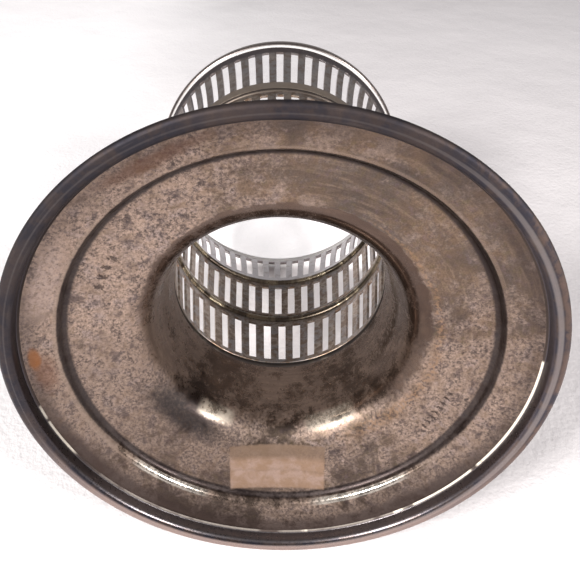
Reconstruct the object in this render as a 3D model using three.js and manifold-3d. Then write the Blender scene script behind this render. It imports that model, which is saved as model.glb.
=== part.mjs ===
// Pierced silver stand for a loose liner: a spun foot with a drawn-in neck, three flaring bands
// pierced with upright slots, and the wires that join them. Millimetres, +Z up, foot on z = 0.
import * as THREE from 'three';
import { mergeVertices } from 'three/addons/utils/BufferGeometryUtils.js';
import Module from 'manifold-3d';

const wasm = await Module();
wasm.setup();

// ---- driving dimensions ----
const BASE_RADIUS = 52;
const SHEET = 0.8; // silver sheet of the foot
const BAND_SHEET = 0.7; // silver sheet of the pierced bands
const GAP = 0.3; // solder line between touching pieces
const SEGMENTS = 48; // facets round the spun pieces
const SLOT_SHARE = 0.5; // slot width as a share of the slot pitch

// Foot rim: an applied moulding with a flat crest to stand on.
const RIM_INNER = BASE_RADIUS - 3.0;
const CREST_INNER = BASE_RADIUS - 2.3;
const CREST_OUTER = BASE_RADIUS - 1.3;
const RIM_HEIGHT = 4.4;

// Foot: radius and height of its underside, from the rim's seam up to the top of the neck.
const FOOT_UNDERSIDE = [
  [RIM_INNER - GAP, 3.4],
  [45.6, 5.1],
  [42.8, 6.3],
  [42.2, 7.6],
  [41.4, 8.4],
  [36.0, 9.9],
  [31.0, 11.2],
  [28.4, 12.6],
  [26.7, 14.6],
  [25.8, 17.0],
  [24.9, 22.1],
  [24.2, 27.6],
  [23.9, 32.2],
];

// Pierced bands: inner radius and height from bottom to top, slot ends, slot count, first slot.
const BANDS = [
  {
    name: 'lower_band',
    wall: [[24.6, 34.9], [28.0, 56.9]],
    slot: [36.6, 54.9],
    count: 42,
    firstSlot: 7.8,
  },
  {
    name: 'middle_band',
    wall: [[27.8, 59.5], [30.1, 79.4]],
    slot: [60.7, 77.4],
    count: 46,
    firstSlot: 0.9,
  },
  {
    name: 'upper_band',
    wall: [[30.3, 82.0], [33.2, 94.6], [35.9, 103.5]],
    slot: [85.2, 101.5],
    count: 53,
    firstSlot: 2.4,
  },
];

// Wires: mean radius, centre height, and half width and half height of the section.
const WIRES = [
  { name: 'collar_ring', radius: 25.0, height: 33.6, halfWidth: 1.3, halfHeight: 1.0 },
  { name: 'lower_wire', radius: 28.6, height: 58.2, halfWidth: 1.1, halfHeight: 1.0 },
  { name: 'upper_wire', radius: 30.4, height: 80.7, halfWidth: 1.0, halfHeight: 0.9 },
  { name: 'top_rim', radius: 36.8, height: 104.9, halfWidth: 1.1, halfHeight: 1.05 },
];
const WIRE_SIDES = 6;

// ---- materials ----
function silver(color, roughness) {
  return new THREE.MeshStandardMaterial({ color, roughness, metalness: 1.0 });
}

const footSilver = silver(0x8f7b72, 0.42);
const rimSilver = silver(0x66626a, 0.35);
const bandSilver = silver(0x6f6763, 0.45);
const wireSilver = silver(0x8a7d68, 0.3);

// ---- shapes ----
// A closed profile of [radius, height] points, anticlockwise, spun round Z.
function spin(profile, segments, startAngle = 0) {
  const points = profile.map(([r, z]) => new THREE.Vector2(r, z));
  points.push(points[0].clone());
  const geometry = new THREE.LatheGeometry(points, segments, startAngle);
  geometry.rotateX(Math.PI / 2);
  return welded(geometry);
}

// The same shape with its shared corners merged, so that it is one closed mesh.
function welded(geometry) {
  geometry.deleteAttribute('normal');
  geometry.deleteAttribute('uv');
  return mergeVertices(geometry, 1e-4);
}

// The same line moved sideways by a sheet's thickness, to the right of its direction of travel.
function offsetLine(line, thickness) {
  return line.map(([r, z], i) => {
    const [r0, z0] = line[Math.max(i - 1, 0)];
    const [r1, z1] = line[Math.min(i + 1, line.length - 1)];
    const length = Math.hypot(r1 - r0, z1 - z0);
    return [r + (thickness * (z1 - z0)) / length, z - (thickness * (r1 - r0)) / length];
  });
}

// Profile of a bent sheet: out along one face and back along the other.
function sheetProfile(innerLine, thickness) {
  return [...offsetLine(innerLine, thickness), ...[...innerLine].reverse()];
}

function toManifold(geometry) {
  return new wasm.Manifold(
    new wasm.Mesh({
      numProp: 3,
      vertProperties: geometry.attributes.position.array,
      triVerts: new Uint32Array(geometry.index.array),
    }),
  );
}

function fromManifold(solid) {
  const mesh = solid.getMesh();
  const geometry = new THREE.BufferGeometry();
  geometry.setAttribute('position', new THREE.BufferAttribute(mesh.vertProperties, 3));
  geometry.setIndex(new THREE.BufferAttribute(mesh.triVerts, 1));
  return geometry;
}

function addPiece(group, name, geometry, material) {
  geometry.computeVertexNormals();
  const mesh = new THREE.Mesh(geometry, material);
  mesh.name = name;
  group.add(mesh);
}

// ---- pieces ----
function footRim() {
  return spin(
    [
      [CREST_INNER, 0],
      [CREST_OUTER, 0],
      [BASE_RADIUS - 0.5, 0.4],
      [BASE_RADIUS, 1.3],
      [BASE_RADIUS - 0.5, 2.2],
      [BASE_RADIUS - 1.5, 3.0],
      [BASE_RADIUS - 1.9, RIM_HEIGHT],
      [RIM_INNER, RIM_HEIGHT],
      [RIM_INNER, 1.7],
      [RIM_INNER + 0.25, 0.5],
    ],
    SEGMENTS,
  );
}

function foot() {
  return spin(sheetProfile(FOOT_UNDERSIDE, -SHEET).reverse(), SEGMENTS);
}

function wire({ radius, height, halfWidth, halfHeight }) {
  const section = [];
  for (let i = 0; i < WIRE_SIDES; i += 1) {
    const angle = ((i + 0.5) * 2 * Math.PI) / WIRE_SIDES;
    const scale = 1 / Math.cos(Math.PI / WIRE_SIDES);
    const r = radius + halfWidth * scale * Math.cos(angle);
    section.push([r, height + halfHeight * scale * Math.sin(angle)]);
  }
  return spin(section, SEGMENTS);
}

// One band: a spun sheet with one facet for each slot, less a box for each slot.
function piercedBand({ wall, slot, count, firstSlot }) {
  const pitch = (2 * Math.PI) / count;
  const first = THREE.MathUtils.degToRad(firstSlot);
  const bandStart = first + Math.PI / 2 - pitch / 2;
  const band = toManifold(spin(sheetProfile(wall, BAND_SHEET), count, bandStart));

  const innerRadius = wall[0][0] - 1;
  const outerRadius = wall[wall.length - 1][0] + 3;
  const meanRadius = (wall[0][0] + wall[wall.length - 1][0]) / 2;
  const width = pitch * meanRadius * SLOT_SHARE;
  const height = slot[1] - slot[0];
  const box = new THREE.BoxGeometry(outerRadius - innerRadius, width, height);
  box.translate((innerRadius + outerRadius) / 2, 0, slot[0] + height / 2);
  const cutter = toManifold(welded(box));
  const cutters = [];
  for (let i = 0; i < count; i += 1) {
    cutters.push(cutter.rotate([0, 0, firstSlot + (i * 360) / count]));
  }
  return fromManifold(band.subtract(wasm.Manifold.union(cutters)));
}

// ---- assembly ----
const stand = new THREE.Group();
stand.name = 'pierced_stand';
addPiece(stand, 'foot_rim', footRim(), rimSilver);
addPiece(stand, 'foot', foot(), footSilver);
for (const entry of WIRES) {
  addPiece(stand, entry.name, wire(entry), wireSilver);
}
for (const entry of BANDS) {
  addPiece(stand, entry.name, piercedBand(entry), bandSilver);
}

export default stand;
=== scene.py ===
"""Looks of a pierced silver stand: fine meshes for every ring, worn silver, soft studio and camera.

Lengths are in metres in the CAD's own frame: the stand's axis is Z and its foot stands on z = 0.
"""

import math
from types import SimpleNamespace

import bpy
import numpy as np
from mathutils import Matrix, Vector, noise


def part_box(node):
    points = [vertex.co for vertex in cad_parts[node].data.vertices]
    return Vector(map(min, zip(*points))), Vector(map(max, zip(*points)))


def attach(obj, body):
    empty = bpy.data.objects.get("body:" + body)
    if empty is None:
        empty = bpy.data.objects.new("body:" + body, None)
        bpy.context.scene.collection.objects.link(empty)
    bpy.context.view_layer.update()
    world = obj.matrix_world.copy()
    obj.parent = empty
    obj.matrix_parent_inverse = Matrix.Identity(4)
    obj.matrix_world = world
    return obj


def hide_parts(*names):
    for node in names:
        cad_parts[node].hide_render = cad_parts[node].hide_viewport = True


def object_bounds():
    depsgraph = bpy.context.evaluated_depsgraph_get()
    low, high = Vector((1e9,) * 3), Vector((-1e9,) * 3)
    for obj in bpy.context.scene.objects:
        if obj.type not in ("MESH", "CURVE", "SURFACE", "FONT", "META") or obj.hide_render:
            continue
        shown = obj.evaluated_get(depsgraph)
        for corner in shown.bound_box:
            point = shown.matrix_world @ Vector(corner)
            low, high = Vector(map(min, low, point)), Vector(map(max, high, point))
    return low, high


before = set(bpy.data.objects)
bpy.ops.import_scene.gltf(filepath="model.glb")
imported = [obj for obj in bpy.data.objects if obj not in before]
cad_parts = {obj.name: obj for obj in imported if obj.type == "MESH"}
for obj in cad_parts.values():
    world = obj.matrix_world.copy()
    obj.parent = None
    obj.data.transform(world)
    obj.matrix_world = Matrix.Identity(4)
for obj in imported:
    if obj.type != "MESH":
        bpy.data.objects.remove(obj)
cad_low, cad_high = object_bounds()

MM = 0.001
BASE_RADIUS = cad_high.x
SHEET = 0.8 * MM  # thickness of the foot's sheet
BAND_SHEET = 0.7 * MM  # thickness of the pierced sheet
SPIN_STEPS = 288  # mesh steps round a spun piece


# ---------------------------------------------------------------- camera
CAMERA_ELEVATION = math.radians(-56.43)  # the camera looks up into the foot
CAMERA_DISTANCE = 2.237 * BASE_RADIUS
CAMERA_OFFSET = (0.075 * BASE_RADIUS, -0.323 * BASE_RADIUS)
CAMERA_LIFT = 0.6 * MM
CAMERA_ROLL = math.radians(2.78)
SENSOR = 36.0
FOCAL_SHARE = 626.1 / 580  # focal length as a share of the picture's width
CAMERA_SHIFT = 0.055


def make_camera():
    """Camera below the foot, on the -Y side, with the stand's axis running away from it."""
    back = Vector((0, -math.cos(CAMERA_ELEVATION), math.sin(CAMERA_ELEVATION)))
    right = Vector((1, 0, 0))
    up = back.cross(right)
    turned_right = right * math.cos(CAMERA_ROLL) + up * math.sin(CAMERA_ROLL)
    turned_up = up * math.cos(CAMERA_ROLL) - right * math.sin(CAMERA_ROLL)
    place = back * CAMERA_DISTANCE - turned_right * CAMERA_OFFSET[0] - turned_up * CAMERA_OFFSET[1]
    place.z += CAMERA_LIFT
    data = bpy.data.cameras.new("camera")
    data.sensor_width = SENSOR
    data.lens = SENSOR * FOCAL_SHARE
    data.shift_x = CAMERA_SHIFT
    data.clip_start = 0.01
    data.clip_end = 20
    camera = bpy.data.objects.new("camera", data)
    axes = Matrix((turned_right, turned_up, back)).transposed().to_4x4()
    camera.matrix_world = Matrix.Translation(place) @ axes
    bpy.context.scene.collection.objects.link(camera)
    bpy.context.scene.camera = camera


# ---------------------------------------------------------------- mesh helpers
def add_piece(name, verts, faces, node, material, sharp_degrees=35):
    """A shaded mesh that rides on the stand and stands for its CAD node."""
    mesh = bpy.data.meshes.new(name)
    mesh.from_pydata([tuple(v) for v in verts], [], [tuple(f) for f in faces])
    mesh.validate()
    mesh.update()
    mesh.materials.append(material)
    piece = bpy.data.objects.new(name, mesh)
    bpy.context.scene.collection.objects.link(piece)
    mesh.shade_smooth()
    mesh.set_sharp_from_angle(angle=math.radians(sharp_degrees))
    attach(piece, "root")
    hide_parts(node)
    return piece


def spun(profile):
    """Vertices and faces of a closed [radius, height] outline, anticlockwise, spun round Z."""
    profile = np.array(profile, float)
    count = len(profile)
    angles = np.arange(SPIN_STEPS) * 2 * math.pi / SPIN_STEPS
    radius, height = profile[:, 0], profile[:, 1]
    verts = np.stack(
        [
            np.outer(np.cos(angles), radius),
            np.outer(np.sin(angles), radius),
            np.tile(height, (SPIN_STEPS, 1)),
        ],
        axis=-1,
    ).reshape(-1, 3)
    faces = []
    for i in range(SPIN_STEPS):
        here, after = i * count, ((i + 1) % SPIN_STEPS) * count
        for j in range(count):
            k = (j + 1) % count
            faces.append((here + j, after + j, after + k, here + k))
    return verts, faces


def smooth_line(points, per_span):
    """A Catmull-Rom curve through the points, as an array with per_span steps from point to point."""
    p = np.array(points, float)
    p = np.vstack([2 * p[0] - p[1], p, 2 * p[-1] - p[-2]])
    t = np.linspace(0, 1, per_span, endpoint=False)[:, None]
    spans = []
    for a, b, c, d in zip(p[:-3], p[1:-2], p[2:-1], p[3:]):
        spans.append(
            0.5 * (2 * b + (c - a) * t + (2 * a - 5 * b + 4 * c - d) * t**2 + (3 * b - a - 3 * c + d) * t**3)
        )
    return np.vstack([*spans, p[-2]])


def offset_line(line, distance):
    """The line moved sideways, to the left of its direction of travel."""
    line = np.array(line, float)
    run = np.gradient(line, axis=0)
    run /= np.linalg.norm(run, axis=1)[:, None]
    return line + distance * np.stack([-run[:, 1], run[:, 0]], axis=-1)


def arc(centre, radius, start, end, steps):
    """Points on an arc, angles in degrees."""
    a = np.radians(np.linspace(start, end, steps))
    return np.stack([centre[0] + radius * np.cos(a), centre[1] + radius * np.sin(a)], axis=-1)


def ripple(verts, amplitude, scale, seed):
    """Hand-work unevenness: moves each vertex a little along its radius and height."""
    moved = []
    for v in verts:
        p = Vector((v[0] * scale, v[1] * scale, v[2] * scale + seed))
        radial = noise.noise(p) * amplitude
        lift = noise.noise(p + Vector((31.7, 0, 0))) * amplitude
        r = math.hypot(v[0], v[1])
        moved.append((v[0] * (1 + radial / r), v[1] * (1 + radial / r), v[2] + lift))
    return np.array(moved)


# ---------------------------------------------------------------- foot and rim
RIM_INNER = BASE_RADIUS - 3.0 * MM
NECK_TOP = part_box("foot")[1].z


def foot_underside():
    """Underside of the spun foot, from the rim's seam to the top of the neck, in millimetres."""
    flange = [(48.65, 3.35), (47.6, 3.75), (45.6, 4.75), (43.9, 5.6), (43.1, 5.95)]
    step = [(42.7, 6.25), (42.35, 6.9), (42.15, 7.55), (41.75, 8.05), (41.2, 8.35)]
    dish = [(39.5, 8.85), (36.0, 9.9), (32.5, 10.8), (31.0, 11.2)]
    turn = [(29.6, 11.8), (28.3, 12.7), (27.3, 13.7), (26.5, 14.95), (25.9, 16.6), (25.3, 19.0)]
    neck = [(24.8, 22.2), (24.2, 27.6), (23.95, 30.6), (23.9, NECK_TOP / MM)]
    return smooth_line([*flange, *step, *dish, *turn, *neck], 4) * MM


def make_foot(material):
    """The spun sheet: its underside, and the same line moved out by the sheet's thickness."""
    under = foot_underside()
    upper = offset_line(under, -SHEET)
    upper[:, 0] = np.minimum(upper[:, 0], RIM_INNER - 0.35 * MM)
    verts, faces = spun(np.vstack([upper, under[::-1]]))
    verts = ripple(verts, 0.06 * MM, 60, 3.0)
    add_piece("foot_sheet", verts, faces, "foot", material)


def make_foot_rim(material):
    """Applied moulding: rounded inner corner, narrow crest, outer bead and a bead over the seam."""
    base = BASE_RADIUS / MM
    inner = RIM_INNER / MM
    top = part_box("foot_rim")[1].z / MM
    profile = np.vstack(
        [
            arc((inner + 1.30, 1.25), 1.25, 190, 268, 12),
            arc((base - 0.95, 0.95), 0.95, -85, 100, 20),
            arc((base - 1.25, 2.75), 0.85, 265, 180, 7),
            arc((inner + 0.35, top - 0.35), 0.35, 60, 180, 7),
            arc((inner - 0.02, 3.45), 0.38, 100, 260, 9),
            [(inner + 0.06, 2.9), (inner + 0.03, 2.2), (inner + 0.04, 1.6)],
        ]
    )
    verts, faces = spun(profile * MM)
    add_piece("foot_moulding", verts, faces, "foot_rim", material)


# ---------------------------------------------------------------- wires
def make_wire(name, node, material, radius, height, half):
    """A round wire bent to a ring; radius and height of its centre and half its thickness, in mm."""
    verts, faces = spun(arc((radius, height), half, 0, 345, 24) * MM)
    verts = ripple(verts, 0.04 * MM, 90, 7.0)
    add_piece(name, verts, faces, node, material)


# ---------------------------------------------------------------- pierced bands
SLOT_SHARE = 0.49  # slot width as a share of the slot pitch
SLOT_ROWS = 8  # mesh rows along a slot, ends included
FILE_MARKS = 0.05 * MM  # how far a hand-cut slot edge wanders

# Inner face of each band, [radius, height] from bottom to top, in millimetres.
LOWER_WALL = [(24.6, 34.9), (28.0, 56.9)]
MIDDLE_WALL = [(27.8, 59.5), (30.1, 79.4)]
UPPER_WALL = [(30.3, 82.0), (31.05, 85.2), (32.75, 93.4), (34.95, 101.5), (35.9, 103.5)]


def make_band(name, node, material, wall, slot, count, first_slot, seed):
    """A flaring ring of sheet with upright slots: two skins, their edges and every slot's walls.

    wall is the inner face and slot the heights of a slot's ends, in millimetres; first_slot is an azimuth
    in degrees, and seed sets the unevenness.
    """
    random = np.random.default_rng(seed)
    wall = smooth_line(wall, 12) * MM
    heights = np.concatenate(
        [
            [wall[0, 1], (wall[0, 1] + slot[0] * MM) / 2],
            np.linspace(slot[0] * MM, slot[1] * MM, SLOT_ROWS),
            [(wall[-1, 1] + slot[1] * MM) / 2, wall[-1, 1]],
        ]
    )
    rows = len(heights)
    first_open, last_open = 2, 2 + SLOT_ROWS - 1
    pitch = 2 * math.pi / count
    half_slot = pitch * SLOT_SHARE / 2
    offsets = np.array([-half_slot, 0.0, half_slot, pitch / 2])
    columns = 4 * count
    verts = []
    for i in range(count):
        wander = random.normal(0, FILE_MARKS, 4)
        centre = math.radians(first_slot) + i * pitch
        for c, offset in enumerate(offsets):
            for row, z in enumerate(heights):
                radius = np.interp(z, wall[:, 1], wall[:, 0])
                angle = centre + offset
                if c < 3:
                    angle += wander[0] / radius + (wander[1] / radius if c == 2 else 0)
                    if row == first_open:
                        z = z + wander[2]
                    if row == last_open:
                        z = z + wander[3]
                for skin in (radius, radius + BAND_SHEET):
                    verts.append((skin * math.cos(angle), skin * math.sin(angle), z))
    verts = ripple(verts, 0.07 * MM, 110, seed)

    def at(column, row, skin):
        """Index of a vertex; skin is 0 on the inner face and 1 on the outer."""
        return ((column % columns) * rows + row) * 2 + skin

    def open_cell(column, row):
        """Whether the cell to the right of the column and above the row is in a slot."""
        return column % 4 in (0, 1) and first_open <= row < last_open

    def across(column, row, first_skin):
        """The strip of edge between the skins, one column wide."""
        left = (column, row)
        right = (column + 1, row)
        last_skin = 1 - first_skin
        return [at(*left, first_skin), at(*right, first_skin), at(*right, last_skin), at(*left, last_skin)]

    def upright(column, row, first_skin):
        """The strip of a slot's side wall between the skins, one row high."""
        low = (column, row)
        high = (column, row + 1)
        last_skin = 1 - first_skin
        return [at(*low, first_skin), at(*high, first_skin), at(*high, last_skin), at(*low, last_skin)]

    faces = []
    for column in range(columns):
        after = column + 1
        faces.append(across(column, 0, 0))
        faces.append(across(column, rows - 1, 1))
        for row in range(rows - 1):
            if open_cell(column, row):
                continue
            corners = [(column, row), (after, row), (after, row + 1), (column, row + 1)]
            faces.append([at(c, r, 1) for c, r in corners])
            faces.append([at(c, r, 0) for c, r in reversed(corners)])
        if column % 4 in (0, 1):
            faces.append(across(column, first_open, 1))
            faces.append(across(column, last_open, 0))
        for row in range(first_open, last_open):
            if column % 4 == 0:
                faces.append(upright(column, row, 0))
            if column % 4 == 2:
                faces.append(upright(column, row, 1))
    piece = add_piece(name, verts, faces, node, material, 40)
    bevel = piece.modifiers.new("filed edges", "BEVEL")
    bevel.width = 0.09 * MM
    bevel.segments = 1
    bevel.limit_method = "ANGLE"
    bevel.angle_limit = math.radians(50)


# ---------------------------------------------------------------- materials
def colour(red, green, blue):
    """A linear colour from a display colour in 0-255."""
    channels = [c / 255 for c in (red, green, blue)]
    return (*[c / 12.92 if c <= 0.04045 else ((c + 0.055) / 1.055) ** 2.4 for c in channels], 1.0)


class Paint:
    """Builds the nodes of one material; positions are in millimetres from the stand's axis."""

    def __init__(self, name):
        self.material = bpy.data.materials.new(name)
        self.material.use_nodes = True
        self.nodes = self.material.node_tree.nodes
        self.links = self.material.node_tree.links
        self.shader = self.nodes["Principled BSDF"]
        source = self.nodes.new("ShaderNodeTexCoord").outputs["Object"]
        self.place = self.scaled(source, 1 / MM)
        split = self.nodes.new("ShaderNodeSeparateXYZ")
        self.put(split.inputs[0], self.place)
        self.x, self.y, self.z = split.outputs
        self.radius = self.math("SQRT", self.add(self.times(self.x, self.x), self.times(self.y, self.y)))
        self.angle = self.math("ARCTAN2", self.y, self.x)
        self.right = self.math("DIVIDE", self.x, self.radius)
        self.down = self.math("DIVIDE", self.y, self.radius)
        facing = self.nodes.new("ShaderNodeSeparateXYZ")
        self.put(facing.inputs[0], self.nodes.new("ShaderNodeNewGeometry").outputs["Normal"])
        away = self.add(self.times(facing.outputs[0], self.right), self.times(facing.outputs[1], self.down))
        # masks from the way the surface faces: out from the axis, in to it, and down or in
        self.outside = self.step(away, -0.3, 0.3)
        self.inside = self.math("SUBTRACT", 1.0, self.outside)
        self.inner_half = self.step(away, 0.0, 0.5, 1, 0)
        outer_or_up = self.add(facing.outputs[2], self.times(away, 0.6))
        self.under = self.step(outer_or_up, -0.05, 0.05, 1, 0)

    def put(self, socket, value):
        """Links an output to the socket, or writes a constant on it."""
        if isinstance(value, bpy.types.NodeSocket):
            self.links.new(value, socket)
        else:
            socket.default_value = value

    def math(self, operation, a, b=0.0):
        """One sum, comparison or function of numbers."""
        node = self.nodes.new("ShaderNodeMath")
        node.operation = operation
        self.put(node.inputs[0], a)
        self.put(node.inputs[1], b)
        return node.outputs[0]

    def add(self, *terms):
        """The sum of all the terms."""
        total = terms[0]
        for term in terms[1:]:
            total = self.math("ADD", total, term)
        return total

    def times(self, *terms):
        """The product of all the terms."""
        total = terms[0]
        for term in terms[1:]:
            total = self.math("MULTIPLY", total, term)
        return total

    def most(self, *terms):
        """The greatest of all the terms."""
        greatest = terms[0]
        for term in terms[1:]:
            greatest = self.math("MAXIMUM", greatest, term)
        return greatest

    def scaled(self, vector, scale):
        """The vector times a number."""
        node = self.nodes.new("ShaderNodeVectorMath")
        node.operation = "SCALE"
        self.put(node.inputs[0], vector)
        self.put(node.inputs["Scale"], scale)
        return node.outputs["Vector"]

    def swirl(self, around, across):
        """Coordinates that run round the axis: features `around` mm long and `across` mm wide."""
        node = self.nodes.new("ShaderNodeCombineXYZ")
        turn = BASE_RADIUS / MM / around
        self.put(node.inputs[0], self.times(self.right, turn))
        self.put(node.inputs[1], self.times(self.down, turn))
        self.put(node.inputs[2], self.times(self.add(self.radius, self.z), 1 / across))
        return node.outputs[0]

    def noise(self, size, detail=3.0, roughness=0.55, distortion=0.0, where=None, seed=0.0):
        """Noise in 0-1 whose features are about `size` millimetres."""
        node = self.nodes.new("ShaderNodeTexNoise")
        node.noise_dimensions = "4D"
        self.put(node.inputs["Vector"], where if where is not None else self.place)
        self.put(node.inputs["W"], seed)
        self.put(node.inputs["Scale"], 1 / size)
        self.put(node.inputs["Detail"], detail)
        self.put(node.inputs["Roughness"], roughness)
        self.put(node.inputs["Distortion"], distortion)
        return node.outputs["Fac"]

    def step(self, value, low, high, out_low=0.0, out_high=1.0):
        """A soft step from out_low to out_high as the value goes from low to high."""
        node = self.nodes.new("ShaderNodeMapRange")
        node.interpolation_type = "SMOOTHSTEP"
        for socket, setting in zip(node.inputs, (value, low, high, out_low, out_high)):
            self.put(socket, setting)
        return node.outputs[0]

    def band(self, value, low, high, edge):
        """One between low and high, with soft edges."""
        above_low = self.step(value, low - edge, low + edge)
        below_high = self.step(value, high - edge, high + edge, 1, 0)
        return self.times(above_low, below_high)

    def towards(self, degrees, start, full):
        """One on the side of the stand that faces the azimuth; start and full are cosines."""
        side = self.add(
            self.times(self.right, math.cos(math.radians(degrees))),
            self.times(self.down, math.sin(math.radians(degrees))),
        )
        return self.step(side, start, full)

    def spot(self, degrees, radius, width, height, edge, rough):
        """A ragged blot; width runs round the axis."""
        cx = radius * math.cos(math.radians(degrees))
        cy = radius * math.sin(math.radians(degrees))
        dx = self.add(self.x, -cx)
        dy = self.add(self.y, -cy)
        c, s = math.cos(math.radians(degrees)), math.sin(math.radians(degrees))
        out = self.times(self.add(self.times(dx, c), self.times(dy, s)), 1 / height)
        side = self.times(self.add(self.times(dy, c), self.times(dx, -s)), 1 / width)
        away = self.math("SQRT", self.add(self.times(out, out), self.times(side, side)))
        away = self.add(away, self.times(rough, 0.9), -0.45)
        return self.step(away, 1 - edge, 1 + edge, 1, 0)

    def mix(self, factor, a, b, blend="MIX"):
        """A colour between a and b."""
        node = self.nodes.new("ShaderNodeMix")
        node.data_type = "RGBA"
        node.blend_type = blend
        self.put(node.inputs[0], factor)
        self.put(node.inputs[6], a)
        self.put(node.inputs[7], b)
        return node.outputs[2]

    def blend(self, factor, a, b):
        """A number between a and b."""
        node = self.nodes.new("ShaderNodeMix")
        node.data_type = "FLOAT"
        self.put(node.inputs[0], factor)
        self.put(node.inputs[2], a)
        self.put(node.inputs[3], b)
        return node.outputs[0]

    def finish(self, base, roughness, metallic, height, shade, depth=0.05 * MM):
        """Wires up the shader; height is the relief in 0-1, shade how much light the tarnish returns."""
        base = self.mix(1.0, base, (shade, shade, shade, 1.0), "MULTIPLY")
        bump = self.nodes.new("ShaderNodeBump")
        self.put(bump.inputs["Height"], height)
        self.put(bump.inputs["Distance"], depth)
        self.put(self.shader.inputs["Normal"], bump.outputs[0])
        self.put(self.shader.inputs["Base Color"], base)
        self.put(self.shader.inputs["Roughness"], roughness)
        self.put(self.shader.inputs["Metallic"], metallic)
        return self.material


def punch_row(p, degrees, radius, count, pitch, half_height):
    """A row of plain punch dents: one for a dent, nought for flat metal."""
    along = p.times(p.add(p.angle, -math.radians(degrees)), radius / pitch)
    cell = p.math("FLOOR", along)
    inside = p.add(along, p.math("MULTIPLY", cell, -1.0), -0.5)
    vary = p.noise(0.37, 0.0, seed=p.times(cell, 7.3))
    width = p.step(vary, 0.35, 0.65, 0.13, 0.26)
    tilt = p.times(p.add(p.radius, -radius), p.step(vary, 0.3, 0.7, -0.25, 0.25))
    across = p.math("DIVIDE", p.add(inside, tilt), width)
    upright = p.times(p.add(p.radius, -radius), 1 / half_height)
    shape = p.math("SQRT", p.add(p.times(across, across), p.times(upright, upright)))
    row = p.band(along, -count / 2, count / 2, 0.02)
    return p.times(p.step(shape, 0.7, 1.1, 1, 0), row)


LABEL_X = (-11.1, 10.5)  # a label once stuck inside the step, in millimetres along its own edges
LABEL_Y = (29.4, 40.2)
LABEL_TILT = 0.055  # slope of its edges
FOOT_SHADE = 0.6  # how much light the foot's tarnish returns

# Each layer below takes the foot's colour so far and returns it with the layer on top. Where it also
# returns masks, they steer the foot's gloss and relief.


def foot_noises(p):
    """The noise fields that the foot's layers share."""
    return SimpleNamespace(
        grain=p.noise(0.28, 2.0, 0.6, seed=51.0),
        fine=p.noise(0.7, 4.0, 0.65),
        tint=p.noise(1.3, 3.0, 0.6, seed=61.0),
        middling=p.noise(3.2, 4.0, 0.6, 0.6, seed=4.0),
        broad=p.noise(14.0, 3.0, 0.6, 0.5, seed=9.0),
        streaks=p.noise(1.0, 3.0, 0.6, where=p.swirl(9.0, 0.55), seed=2.0),
        long_streaks=p.noise(1.0, 2.0, 0.5, where=p.swirl(26.0, 1.6), seed=5.0),
    )


def spun_ground(p, n):
    """Brown-grey tarnish with streaks round the axis and faint violet and olive tints."""
    base = p.mix(p.step(n.broad, 0.38, 0.62), colour(114, 99, 90), colour(148, 124, 104))
    base = p.mix(p.times(p.step(n.middling, 0.42, 0.66), 0.6), base, colour(128, 119, 114))
    base = p.mix(p.times(p.step(n.streaks, 0.45, 0.72), 0.6), base, colour(174, 150, 130))
    base = p.mix(p.times(p.step(n.long_streaks, 0.35, 0.5, 1, 0), 0.35), base, colour(88, 75, 68))
    base = p.mix(p.times(p.step(n.tint, 0.54, 0.7), 0.3), base, colour(140, 120, 130))
    return p.mix(p.times(p.step(n.tint, 0.3, 0.46, 1, 0), 0.35), base, colour(132, 118, 84))


def worn_patches(p, n, base, worn_side):
    """Pale pinkish patches where the tarnish is rubbed away; returns the colour and the patches."""
    rub = p.add(p.times(n.broad, 0.5), p.times(n.middling, 0.5), p.times(worn_side, 0.15))
    rub = p.add(rub, p.times(n.fine, 0.3))
    patches = p.step(rub, 0.66, 0.86)
    base = p.mix(p.times(patches, 0.95), base, colour(208, 180, 162))
    blush = p.times(p.step(p.noise(2.2, 2.0, seed=12.0), 0.5, 0.7), patches)
    return p.mix(p.times(blush, 0.5), base, colour(188, 170, 168)), patches


def specks(p, n, base, worn_side):
    """Soft dark specks, most of them on the worn side, with larger smudges and fine grain."""
    field = p.noise(0.6, 5.0, 0.72, 0.1, seed=21.0)
    field = p.add(field, p.times(p.add(n.middling, -0.5), 0.5), p.times(p.add(n.broad, -0.5), 0.3))
    amount = p.times(p.step(field, 0.42, 0.7), p.step(worn_side, 0.0, 0.6, 0.45, 1.0))
    base = p.mix(amount, base, colour(92, 77, 72))
    smudge = p.add(p.noise(2.4, 4.0, 0.62, 0.5, seed=41.0), p.times(worn_side, 0.05))
    smudged = p.times(p.step(smudge, 0.56, 0.74), p.step(worn_side, 0.2, 0.8, 0.25, 0.75))
    base = p.mix(smudged, base, colour(88, 75, 76))
    pits = p.step(p.noise(1.1, 3.0, 0.6, 0.2, seed=43.0), 0.6, 0.72)
    pits = p.times(pits, p.step(worn_side, 0.2, 0.8, 0.0, 0.5))
    base = p.mix(pits, base, colour(78, 66, 66))
    grain = p.step(n.grain, 0.3, 0.7, 0.86, 1.12)
    grey = p.nodes.new("ShaderNodeCombineXYZ")
    for socket in grey.inputs:
        p.put(socket, grain)
    return p.mix(1.0, base, grey.outputs[0], "MULTIPLY")


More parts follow.
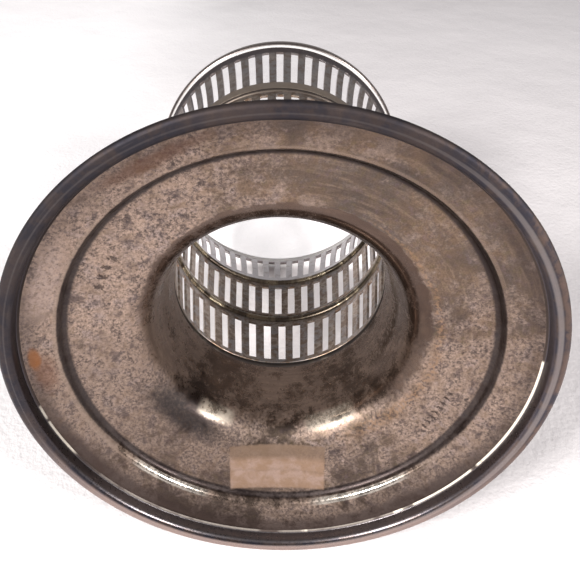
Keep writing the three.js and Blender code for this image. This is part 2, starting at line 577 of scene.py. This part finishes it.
def step_and_edge(p, n, base, low):
    """Painted shade in the step's inner corner, partly tarnish, and the darker outermost flange; also the
    corner and its painted glint.
    """
    outer = p.step(p.add(p.radius, p.times(p.add(n.middling, -0.5), 3.0)), 45.2, 47.2)
    base = p.mix(p.times(outer, p.step(low, 0.0, 0.8, 0.4, 0.95)), base, colour(84, 70, 66))
    # darker towards the lower left and, outside the step, along the bottom
    beyond_step = p.times(low, p.step(p.radius, 43.4, 44.6), 0.5)
    darker_below = p.most(p.times(p.towards(128, 0.4, 0.95), 0.36), beyond_step)
    base = p.mix(darker_below, base, colour(98, 82, 75))
    pale = p.times(p.spot(201, 45.4, 8.0, 2.2, 0.6, n.middling), p.step(n.fine, 0.4, 0.62, 0.8, 0.15))
    base = p.mix(pale, base, colour(206, 182, 170))
    from_corner = p.add(p.radius, p.times(low, 0.45))
    # painted shade in the step's inner corner, partly tarnish
    groove = p.times(p.step(p.radius, 40.9, 41.5), p.step(from_corner, 42.55, 43.0, 1, 0))
    base = p.mix(p.times(groove, 0.9), base, colour(62, 53, 53))
    corner = p.times(p.step(from_corner, 42.7, 42.9), p.step(p.radius, 43.3, 43.6, 1, 0))
    # painted highlight: a near-white glint on the corner at the two sides where the lamps' highlights fall
    glint = p.times(corner, p.most(p.towards(122, 0.97, 0.99), p.towards(61, 0.955, 0.985)))
    lighter_streaks = p.times(corner, p.step(n.long_streaks, 0.4, 0.6, 0.25, 0.6))
    base = p.mix(lighter_streaks, base, colour(170, 148, 132))
    return p.mix(p.times(glint, 0.85), base, colour(236, 226, 214)), corner, glint


def throat_mask(p, n, low):
    """The dark neck's mask, how far a point lies past its ragged edge, and a mask of its right side."""
    drift = p.add(p.times(p.right, 1.0), p.times(p.down, -2.4), p.times(low, -0.7))
    blot = p.towards(-28, 0.72, 0.95)
    ragged = p.add(p.times(p.add(n.broad, -0.5), 1.6), p.times(p.add(n.middling, -0.5), 2.6))
    edge = p.add(p.radius, p.times(drift, -1.0), p.times(blot, 0.2), p.times(ragged, p.blend(low, 0.8, 0.3)))
    soft = p.step(p.down, -0.9, 0.7, 0.25, 1.3)
    edge = p.math("DIVIDE", p.add(edge, -28.9), soft)
    return p.step(edge, -1.0, 1.0, 1, 0), edge, p.towards(-5, 0.5, 0.9)


def throat_layer(p, n, base, low):
    """The neck: dark brown-grey, polished, darker deeper in and on its -Y side as painted shade, with a
    rust-edged blot at the right; also its mask.
    """
    throat, edge, right_side = throat_mask(p, n, low)
    neck = p.mix(p.step(n.streaks, 0.4, 0.7), colour(134, 114, 102), colour(164, 140, 124))
    neck = p.mix(p.times(p.step(n.fine, 0.45, 0.65), 0.3), neck, colour(106, 90, 82))
    # painted shade: darker deeper in the neck
    deep = p.times(p.step(p.z, 14.5, 18.0), p.step(n.fine, 0.3, 0.7, 0.5, 0.9))
    neck = p.mix(p.times(deep, 0.4), neck, colour(118, 100, 92))
    blot = p.times(right_side, p.step(p.radius, 26.0, 27.0))
    neck = p.mix(p.times(blot, p.step(n.middling, 0.4, 0.6, 0.7, 1.0)), neck, colour(84, 66, 56))
    # painted shade: the turn darker on its -Y side
    lip = p.times(p.towards(-90, 0.0, 0.6), p.step(p.z, 15.0, 17.0, 1, 0))
    neck = p.mix(p.times(lip, 0.7), neck, colour(96, 78, 70))
    base = p.mix(p.times(throat, 0.92), base, neck)
    halo = p.times(p.band(edge, 1.2, 3.2, 1.0), p.towards(0, 0.3, 0.8), p.step(n.fine, 0.42, 0.6))
    return p.mix(p.times(halo, 0.75), base, colour(188, 150, 118)), throat


def label_ghost(p, n, base):
    """The pale rectangle that a paper label left, with a darker top third; also its mask."""
    wander = p.times(p.add(n.fine, -0.5), 0.7)
    upright = p.add(p.y, p.times(p.x, LABEL_TILT))
    ghost = p.times(
        p.band(p.add(p.x, p.times(p.y, -LABEL_TILT), wander), *LABEL_X, 0.25),
        p.band(p.add(upright, wander), *LABEL_Y, 0.35),
        p.under,
    )
    clouds = p.noise(3.2, 3.0, 0.6, 0.4, seed=3.0)
    paper = p.mix(p.step(clouds, 0.38, 0.66), colour(176, 142, 116), colour(196, 166, 150))
    top = p.step(p.add(upright, p.times(clouds, 1.4)), 32.4, 34.2, 1, 0)
    line = p.times(p.band(p.add(upright, p.times(clouds, 2.6)), 36.9, 37.3, 0.4), 0.4)
    paper = p.mix(p.times(p.most(top, line), 0.8), paper, colour(128, 104, 84))
    paper = p.mix(p.times(p.step(n.fine, 0.5, 0.7), 0.3), paper, colour(150, 122, 102))
    return p.mix(p.times(ghost, 0.85), base, paper), ghost


def foot_marks(p, n, base):
    """Soot by the neck, freckles, rust smears, an orange stain and two rows of dents; also the dents."""
    sooty = p.times(p.spot(133, 28.8, 9.5, 3.4, 0.5, n.middling), p.step(n.fine, 0.3, 0.6, 0.75, 1.0))
    base = p.mix(p.times(sooty, 0.95), base, colour(52, 44, 44))
    freckles = p.times(p.spot(64, 35.2, 3.0, 4.0, 0.5, n.middling), p.step(n.fine, 0.42, 0.58))
    base = p.mix(p.times(freckles, 0.75), base, colour(84, 70, 66))
    smudge = p.add(p.times(n.middling, 0.6), p.times(n.fine, 0.4))
    smear = p.times(p.spot(-119, 46.0, 9.0, 1.3, 0.5, smudge), 0.6)
    base = p.mix(smear, base, colour(112, 76, 58))
    base = p.mix(p.times(p.spot(174, 45.6, 4.2, 1.8, 0.6, smudge), 0.55), base, colour(128, 84, 60))
    base = p.mix(p.times(p.spot(179, 46.8, 2.5, 1.0, 0.35, smudge), 0.75), base, colour(166, 104, 52))
    left_row = punch_row(p, -154, 36.7, 4, 2.4, 1.1)
    right_row = punch_row(p, 22.5, 37.2, 8, 1.45, 0.85)
    dents = p.times(p.most(left_row, right_row), p.under)
    return p.mix(p.times(dents, 0.8), base, colour(70, 56, 52)), dents


def glint_on_turn(p):
    """Two painted glints (highlights) on the rounded turn from the dish into the neck."""
    turn = p.band(p.z, 13.8, 16.6, 0.9)
    return p.times(turn, p.most(p.towards(119, 0.982, 0.997), p.towards(61, 0.968, 0.992)))


def foot_silver():
    """Tarnished spun silver: worn patches, specks, streaks round the axis and an old label's ghost."""
    p = Paint("foot_silver")
    n = foot_noises(p)
    low = p.towards(95, 0.0, 0.85)
    right_low = p.times(p.towards(45, 0.0, 0.9), 0.85)
    worn_side = p.most(p.towards(185, -0.2, 0.9), p.times(low, 0.6), right_low)
    ground = spun_ground(p, n)
    base, patches = worn_patches(p, n, ground, worn_side)
    base = specks(p, n, base, worn_side)
    base, corner, glint = step_and_edge(p, n, base, low)
    base, throat = throat_layer(p, n, base, low)
    base, dents = foot_marks(p, n, base)
    turn_glint = glint_on_turn(p)
    # painted highlights: the two glints in near-white
    base = p.mix(p.times(turn_glint, 0.85), base, colour(236, 222, 204))
    base, ghost = label_ghost(p, n, base)
    base = p.mix(p.under, ground, base)
    matte = p.most(p.times(patches, 0.8), ghost)
    roughness = p.add(p.blend(matte, 0.36, 0.6), p.times(p.add(n.fine, -0.5), 0.25))
    roughness = p.add(roughness, p.times(throat, -0.2), p.times(corner, -0.12))
    roughness = p.add(roughness, p.times(p.most(glint, turn_glint), -0.1))
    metallic = p.blend(matte, 0.9, 0.45)
    height = p.add(p.times(n.streaks, 0.35), p.times(n.fine, 0.25), p.times(patches, 0.2))
    height = p.add(height, p.times(n.middling, 0.6))
    polished = p.most(throat, corner, turn_glint)
    height = p.times(height, p.step(polished, 0.0, 1.0, 1.0, 0.25))
    height = p.add(height, p.times(dents, -3.0))
    return p.finish(base, roughness, metallic, height, FOOT_SHADE)


def rim_silver():
    """The moulded edge: blue-black tarnish, brown blotches, a painted highlight along the crest, painted
    light on the bottom side, painted shade at the upper left and painted highlights on the seam.
    """
    p = Paint("rim_silver")
    fine = p.noise(0.8, 4.0, 0.65)
    middling = p.noise(3.0, 4.0, 0.6, 0.5, seed=4.0)
    broad = p.noise(16.0, 3.0, 0.55, seed=8.0)
    streaks = p.noise(1.0, 3.0, 0.6, where=p.swirl(12.0, 0.4), seed=2.0)
    base = p.mix(p.step(middling, 0.4, 0.62), colour(64, 62, 70), colour(88, 76, 72))
    base = p.mix(p.times(p.step(broad, 0.5, 0.62), 0.5), base, colour(104, 90, 84))
    blue = p.times(p.towards(190, 0.2, 0.9), p.step(fine, 0.3, 0.6, 1.0, 0.5))
    base = p.mix(p.times(blue, 0.5), base, colour(54, 53, 59))
    base = p.mix(p.times(p.step(fine, 0.55, 0.7), 0.5), base, colour(60, 52, 54))
    base = p.mix(p.times(p.step(streaks, 0.56, 0.7), 0.3), base, colour(120, 112, 110))
    lit_side = p.towards(20, -0.2, 0.7)
    low_side = p.towards(90, 0.2, 0.9)
    half_width = p.blend(lit_side, 0.14, 0.45)
    # painted highlight: a lighter line along the crest, wider and stronger on the lit side
    from_crest = p.math("ABSOLUTE", p.add(p.radius, -50.3, p.times(lit_side, 0.25)))
    crest = p.step(p.math("DIVIDE", from_crest, half_width), 0.6, 1.4, 1, 0)
    crest = p.times(crest, p.step(p.z, 0.6, 1.0, 1, 0))
    crest = p.times(crest, p.step(streaks, 0.3, 0.5, 0.4, 0.7), p.blend(lit_side, 0.35, 1.0))
    base = p.mix(crest, base, colour(140, 132, 130))
    # brown on the outer bead, shown only on the lit side and the bottom: partly tarnish, partly painted
    # light
    bronze = p.times(p.step(p.radius, 50.6, 51.0), p.step(middling, 0.35, 0.6))
    bronze = p.times(bronze, p.most(lit_side, low_side))
    base = p.mix(p.times(bronze, 0.7), base, colour(112, 94, 86))
    # painted light: the cove lighter on the bottom side
    cove = p.times(p.step(p.radius, 49.3, 49.6, 1, 0), p.step(p.z, 0.3, 0.7))
    base = p.mix(p.times(cove, 0.8), base, p.mix(low_side, colour(88, 82, 86), colour(124, 118, 120)))
    seam = p.times(p.step(p.z, 3.0, 3.1), p.step(p.radius, 48.98, 49.05, 1, 0))
    base = p.mix(p.times(seam, 0.9), base, colour(92, 80, 74))
    # painted highlights on the seam bead: near-white and not metallic in patches on the right and a little
    # on the left, lighter grey along the bottom
    gap = p.noise(1.0, 3.0, 0.6, where=p.swirl(9.0, 60.0), seed=6.0)
    bright_side = p.most(p.towards(22, 0.75, 0.95), p.times(p.towards(155, 0.94, 0.99), 0.8))
    bright = p.times(seam, p.step(p.add(gap, p.times(bright_side, 0.26)), 0.64, 0.7))
    seam_grey = p.times(seam, low_side, p.step(gap, 0.35, 0.5))
    base = p.mix(p.times(seam_grey, 0.6), base, colour(176, 168, 160))
    base = p.mix(p.times(bright, 0.95), base, colour(250, 240, 222))
    far_side = p.towards(-90, -0.1, 0.35)
    roughness = p.add(0.3, p.times(p.add(fine, -0.5), 0.3), p.times(seam, 0.35), p.times(far_side, 0.32))
    # painted shade: darker towards the upper left
    dark_side_shade = p.times(p.towards(225, -0.2, 0.5), p.step(fine, 0.4, 0.7, 1.0, 0.8))
    base = p.mix(p.times(dark_side_shade, 0.55), base, colour(34, 31, 34))
    # painted light: the outer bead lighter along the bottom side
    base = p.mix(p.times(low_side, p.step(p.radius, 49.6, 50.2), 0.7), base, colour(170, 150, 142))
    metallic = p.blend(bright, 0.92, 0.0)
    height = p.add(p.times(streaks, 0.3), p.times(fine, 0.35), p.times(middling, 0.6))
    return p.finish(base, roughness, metallic, height, 1.0)


def band_silver():
    """Pierced sheet: grey bars mottled brown, painted shade below the top wire, a painted light band on the
    top tier's rail and a painted reflection that makes the top tier pale inside.
    """
    p = Paint("band_silver")
    fine = p.noise(0.7, 4.0, 0.65)
    middling = p.noise(2.2, 4.0, 0.6, 0.8, seed=4.0)
    broad = p.noise(9.0, 2.0, seed=8.0)
    base = p.mix(p.step(broad, 0.4, 0.62), colour(150, 142, 138), colour(174, 158, 144))
    base = p.mix(p.times(p.step(middling, 0.44, 0.58), 0.85), base, colour(128, 104, 84))
    base = p.mix(p.times(p.step(fine, 0.52, 0.66), 0.55), base, colour(88, 77, 74))
    top_tier = p.step(p.z, 80.0, 82.0)
    # painted reflection: the top tier pale, most of all on its inside
    pale = p.times(top_tier, p.step(middling, 0.5, 0.7, 0.9, 0.5), p.step(p.outside, 0.0, 1.0, 1.0, 0.35))
    base = p.mix(pale, base, colour(200, 196, 198))
    # painted light: a lighter band on the outside of the top tier's lower rail
    rail = p.times(p.band(p.z, 81.0, 85.0, 0.2), p.outside)
    base = p.mix(p.times(rail, 0.75), base, colour(178, 160, 142))
    # painted shade on the outside just below the mouth wire
    shaded = p.times(p.step(p.z, 101.0, 101.9), p.outside)
    base = p.mix(p.times(shaded, 0.8), base, colour(104, 94, 92))
    below_wire_shade = p.times(p.step(p.z, 99.5, 101.5), p.outside)
    base = p.mix(p.times(below_wire_shade, 0.4), base, colour(96, 90, 96))
    roughness = p.add(0.34, p.times(p.add(fine, -0.5), 0.3), p.times(p.inside, 0.06))
    height = p.add(p.times(fine, 0.4), p.times(middling, 0.6))
    return p.finish(base, roughness, 0.92, height, 1.0, 0.03 * MM)


MOUTH_RADIUS = 36.8  # centre of the mouth wire's section, in millimetres
MOUTH_HEIGHT = 104.95


def wire_silver():
    """Ring wires: brown-olive tarnish with painted highlights in places along the wire, painted light and
    shade on the mouth wire and painted shade on the collar wire and the lower wires' outer faces.
    """
    p = Paint("wire_silver")
    fine = p.noise(0.7, 4.0, 0.65)
    along = p.noise(1.0, 3.0, 0.6, where=p.swirl(7.0, 30.0), seed=3.0)
    base = p.mix(p.step(along, 0.42, 0.6), colour(100, 90, 79), colour(146, 133, 113))
    base = p.mix(p.times(p.step(fine, 0.55, 0.68), 0.6), base, colour(92, 80, 72))
    # painted highlights: lighter streaks on the inside of the wires at the two sides where the lamps'
    # highlights fall
    glint_sides = p.most(p.towards(140, 0.9, 0.98), p.towards(52, 0.93, 0.99))
    lighter_streaks = p.times(p.step(along, 0.5, 0.62), glint_sides)
    base = p.mix(p.times(lighter_streaks, p.inside, 0.9), base, colour(230, 216, 186))
    # painted light and shade on the mouth wire: lighter towards its outer edge, darker below, and a painted
    # reflection in near-white, not metallic, on its inner half
    mouth = p.step(p.z, 95.0, 100.0)
    out_of_wire = p.add(p.radius, -MOUTH_RADIUS)
    above_wire = p.add(p.z, -MOUTH_HEIGHT)
    lip = p.add(p.times(out_of_wire, 0.83), p.times(above_wire, 0.55))
    lip_colour = p.mix(p.step(lip, 0.1, 0.8), colour(112, 102, 100), colour(214, 204, 198))
    lip_colour = p.mix(p.inner_half, lip_colour, colour(240, 237, 236))
    base = p.mix(p.times(mouth, 0.9), base, lip_colour)
    # painted shade: the outer faces of the lower wires darker, as in a shadowed joint
    outer_wire_shade = p.times(p.outside, p.step(p.z, 90.0, 95.0, 1, 0))
    base = p.mix(p.times(outer_wire_shade, 0.9), base, colour(92, 83, 78))
    # painted shade: the collar wire, deep in the neck, made dark
    collar = p.step(p.z, 36.0, 40.0, 1, 0)
    base = p.mix(p.times(collar, 0.95), base, colour(56, 50, 49))
    roughness = p.add(0.3, p.times(collar, 0.35), p.times(outer_wire_shade, 0.15), p.times(p.add(fine, -0.5), 0.25))
    roughness = p.add(roughness, p.times(lighter_streaks, -0.08))
    metallic = p.blend(p.times(mouth, p.inner_half), 0.95, 0.0)
    height = p.add(p.times(fine, 0.4), p.times(along, 0.5))
    return p.finish(base, roughness, metallic, height, 1.0, 0.03 * MM)


# ---------------------------------------------------------------- stage
CLOTH_HALF = 1.5  # half the cloth's side, in metres
CLOTH_GAP = 0.1 * MM  # between the cloth and the stand that lies on it
WIDEST_HEIGHT = 1.3 * MM  # height at which the CAD's foot is widest
POOL_STRENGTH = 0.6  # painted glow of the bright pool of light painted on the cloth beyond the stand's mouth


def cloth_material():
    """White cloth with painted shade, greyer to the right, and painted glow where light pools behind the
    stand, at the left and far off; one-sided.
    """
    p = Paint("pale_cloth")
    weave = p.noise(1.6, 3.0)
    folds = p.noise(60.0, 3.0, seed=2.0)
    # painted shade: the cloth greyer to the right
    to_right = p.step(p.x, -60.0, 60.0)
    shade = p.mix(to_right, (0.94, 0.91, 0.92, 1), (0.84, 0.80, 0.81, 1))
    shade = p.mix(p.times(p.step(weave, 0.4, 0.7), 0.06), shade, (0.5, 0.46, 0.5, 1))
    # painted light: emission that glows behind the mouth, at the left and far away, though the cloth is no
    # lamp
    beyond = p.times(p.step(p.z, 102.5, 107.0), p.step(p.z, 150.0, 250.0, 1, 0))
    beyond = p.times(beyond, p.step(p.math("ABSOLUTE", p.x), 30.0, 75.0, 1, 0))
    left = p.times(p.step(p.x, -20.0, -110.0), p.step(p.z, 60.0, 160.0))
    far = p.step(p.z, 180.0, 340.0)
    light = p.add(p.times(beyond, POOL_STRENGTH), p.times(left, 0.25), p.times(far, 0.1))
    p.put(p.shader.inputs["Emission Color"], (1.0, 0.97, 0.97, 1))
    p.put(p.shader.inputs["Emission Strength"], light)
    material = p.finish(shade, 0.9, 0.0, p.add(p.times(folds, 8.0), weave), 1.0, 0.4 * MM)
    clear = p.nodes.new("ShaderNodeBsdfTransparent")
    geometry = p.nodes.new("ShaderNodeNewGeometry")
    one_sided = p.nodes.new("ShaderNodeMixShader")
    p.put(one_sided.inputs[0], geometry.outputs["Backfacing"])
    p.put(one_sided.inputs[1], p.shader.outputs[0])
    p.put(one_sided.inputs[2], clear.outputs[0])
    p.put(p.nodes["Material Output"].inputs["Surface"], one_sided.outputs[0])
    return material


def make_stage():
    """A cloth that the lying stand rests on, just clear of the foot's edge and the top wire."""
    top_low, top_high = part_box("top_rim")
    foot_point = Vector((0, BASE_RADIUS, WIDEST_HEIGHT))
    rim_point = Vector((0, top_high.y, (top_low.z + top_high.z) / 2))
    along = (rim_point - foot_point).normalized()
    across = Vector((1, 0, 0))
    normal = across.cross(along)
    centre = foot_point - normal * CLOTH_GAP
    mesh = bpy.data.meshes.new("cloth")
    corners = [(-1, -1), (1, -1), (1, 1), (-1, 1)]
    verts = [centre + (across * x + along * y) * CLOTH_HALF for x, y in corners]
    mesh.from_pydata(verts, [], [(0, 1, 2, 3)])
    mesh.materials.append(cloth_material())
    cloth = bpy.data.objects.new("cloth", mesh)
    bpy.context.scene.collection.objects.link(cloth)


LAMP_DISTANCE = 0.6
LAMP_SIZE = 0.13
LAMP_TINT = (1.0, 0.98, 0.96)
LEFT_LAMP = Vector((-0.61, -0.50, -0.615))  # directions from the stand, on both sides of the camera
RIGHT_LAMP = Vector((0.68, -0.50, -0.54))
LEFT_POWER = 5.0
RIGHT_POWER = 3.5
ROOM_STRENGTH = 0.28


def make_lamp(name, direction, power):
    """A square soft lamp that shines on the foot's centre, which is the frame's origin."""
    data = bpy.data.lights.new(name, "AREA")
    data.shape = "SQUARE"
    data.size = LAMP_SIZE
    data.energy = power
    data.color = LAMP_TINT
    lamp = bpy.data.objects.new(name, data)
    lamp.location = direction.normalized() * LAMP_DISTANCE
    lamp.rotation_euler = (-lamp.location).to_track_quat("-Z", "Y").to_euler()
    bpy.context.scene.collection.objects.link(lamp)


def make_world():
    """Pale to look at; as a light it is a dim room."""
    world = bpy.data.worlds.new("studio")
    world.use_nodes = True
    nodes, links = world.node_tree.nodes, world.node_tree.links
    pale = nodes["Background"]
    pale.inputs["Color"].default_value = (0.80, 0.78, 0.79, 1)
    pale.inputs["Strength"].default_value = 1.0
    room = nodes.new("ShaderNodeBackground")
    room.inputs["Color"].default_value = (0.80, 0.79, 0.82, 1)
    room.inputs["Strength"].default_value = ROOM_STRENGTH
    path = nodes.new("ShaderNodeLightPath")
    mix = nodes.new("ShaderNodeMixShader")
    links.new(path.outputs["Is Camera Ray"], mix.inputs[0])
    links.new(room.outputs[0], mix.inputs[1])
    links.new(pale.outputs[0], mix.inputs[2])
    links.new(mix.outputs[0], nodes["World Output"].inputs["Surface"])
    bpy.context.scene.world = world


make_camera()
band_metal = band_silver()
wire_metal = wire_silver()

make_foot(foot_silver())
make_foot_rim(rim_silver())
make_wire("collar_wire", "collar_ring", wire_metal, 25.1, 33.6, 1.0)
make_wire("lower_ring_wire", "lower_wire", wire_metal, 28.5, 58.2, 1.05)
make_wire("upper_ring_wire", "upper_wire", wire_metal, 30.35, 80.8, 0.9)
make_wire("mouth_wire", "top_rim", wire_metal, MOUTH_RADIUS, MOUTH_HEIGHT, 1.1)
make_band("lower_pierced_band", "lower_band", band_metal, LOWER_WALL, (36.6, 54.9), 42, 7.8, 1)
make_band("middle_pierced_band", "middle_band", band_metal, MIDDLE_WALL, (60.7, 77.4), 46, 0.9, 2)
make_band("upper_pierced_band", "upper_band", band_metal, UPPER_WALL, (85.2, 101.5), 53, 2.4, 3)
make_stage()
make_world()
make_lamp("left_lamp", LEFT_LAMP, LEFT_POWER)
make_lamp("right_lamp", RIGHT_LAMP, RIGHT_POWER)
bpy.context.scene.view_settings.view_transform = "Standard"
